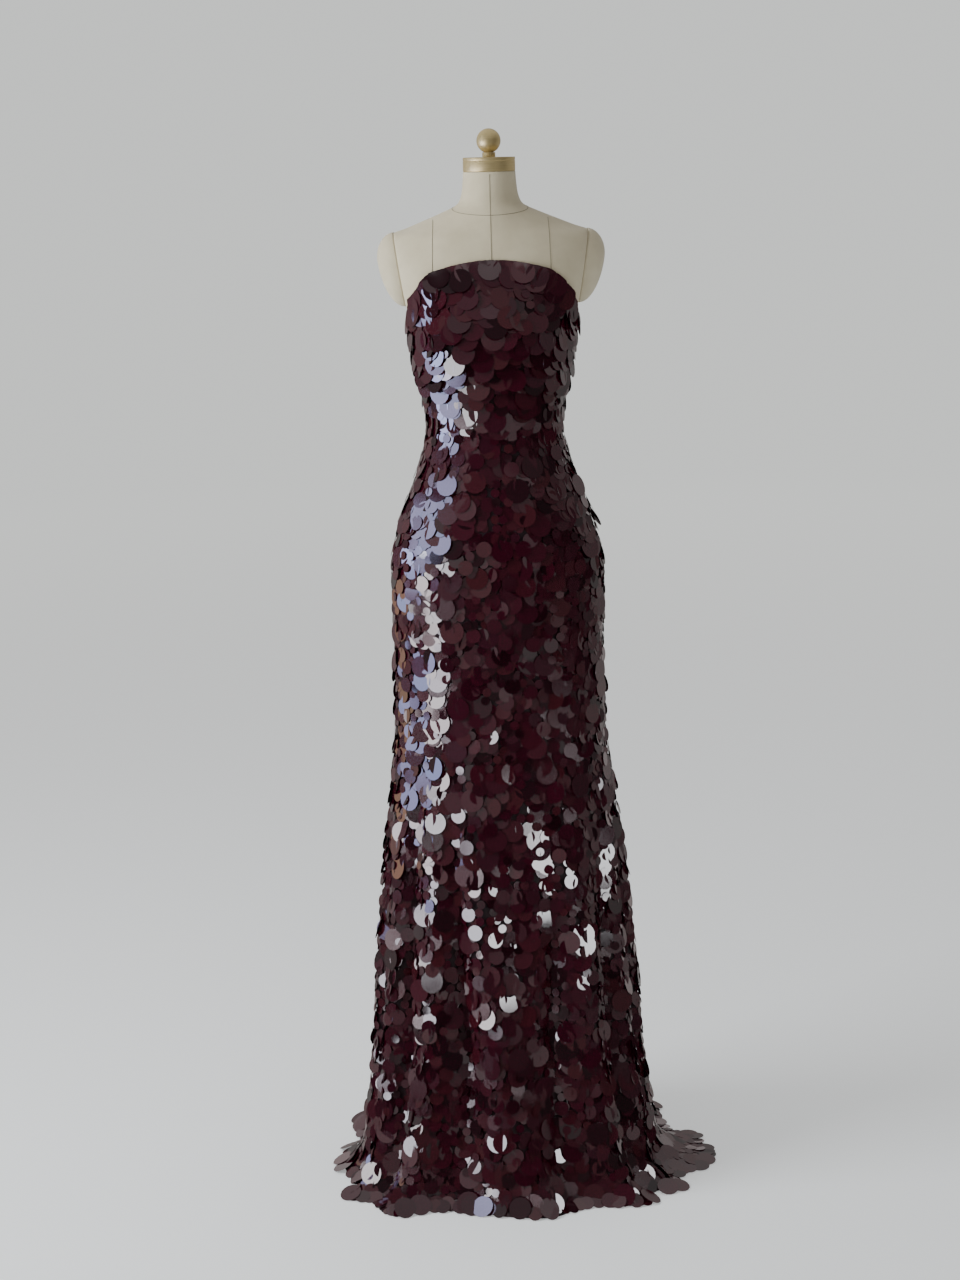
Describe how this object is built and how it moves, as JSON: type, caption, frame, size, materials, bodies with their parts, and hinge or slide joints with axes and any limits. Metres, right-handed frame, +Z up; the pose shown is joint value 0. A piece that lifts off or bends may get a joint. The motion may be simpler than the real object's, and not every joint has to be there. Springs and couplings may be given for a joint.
{
  "type": "evening gown on a dress form",
  "caption": "Strapless floor-length evening gown of paillette cloth with a short train, worn by a limbless dress form on a round-footed stand.",
  "frame": {"origin": "centre of the underside of the stand's round foot, on the floor, under the pole's axis", "axes": "+Z up; the gown's front faces -Y; +X is the wearer's left, where the train sweeps out"},
  "size_m": [0.6257, 0.6313, 1.7548],
  "materials": {
    "paillette_cloth": "net covered with overlapping glossy dark wine paillettes",
    "zip_coil": "matt dyed nylon coil",
    "zip_metal": "dark satin plated slider and pull",
    "form_cover": "fine matt natural linen stretched over a padded shell",
    "neck_brass": "satin brushed brass",
    "stand_metal": "satin black powder coat"
  },
  "bodies": {
    "gown_and_form": {"gown_centre_front": "paillette_cloth", "gown_side_front_left": "paillette_cloth", "gown_side_front_right": "paillette_cloth", "gown_side_back_left": "paillette_cloth", "gown_side_back_right": "paillette_cloth", "gown_centre_back_left": "paillette_cloth", "gown_centre_back_right": "paillette_cloth", "zip_coil": "zip_coil", "zip_slider": "zip_metal", "form_torso": "form_cover", "shoulder_cap_left": "form_cover", "shoulder_cap_right": "form_cover", "neck_cap": "neck_brass", "neck_finial": "neck_brass", "form_flange": "stand_metal", "stand_pole": "stand_metal", "stand_foot": "stand_metal"},
    "pull": {"zip_pull": "zip_metal"}
  },
  "joints": [
    {"name": "zip_pull_swing", "type": "hinge", "parent": "gown_and_form", "child": "pull", "pos_m": [0, 0.09938, 1.44116], "axis": [1, 0, 0], "range_deg": [-10, 160]}
  ]
}
